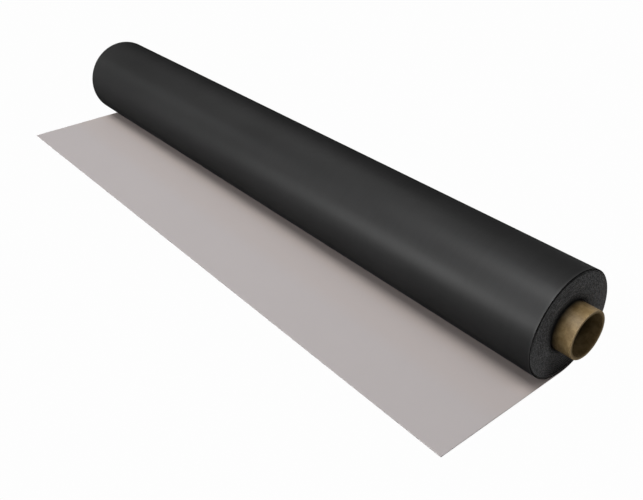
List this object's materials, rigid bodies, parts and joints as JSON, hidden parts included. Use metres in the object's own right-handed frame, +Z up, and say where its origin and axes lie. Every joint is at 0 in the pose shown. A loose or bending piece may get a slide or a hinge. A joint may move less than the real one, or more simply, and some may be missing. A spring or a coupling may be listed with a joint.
{
  "type": "roll of roofing membrane",
  "caption": "Flexible PVC roofing membrane wound on a cardboard core tube, lying on its side with the free end rolled out flat; charcoal outside, light grey inside.",
  "frame": {"origin": "on the floor under the roll's axis, midway along the membrane's width", "axes": "+X along the roll towards the end where the core tube stands out; -Y towards the cut edge of the free end; +Z up from the floor"},
  "size_m": [1.5344, 0.3798, 0.1975],
  "materials": {
    "membrane": "satin",
    "core": "matte"
  },
  "bodies": {
    "root": {"membrane": "membrane", "core_tube": "core"}
  },
  "joints": []
}
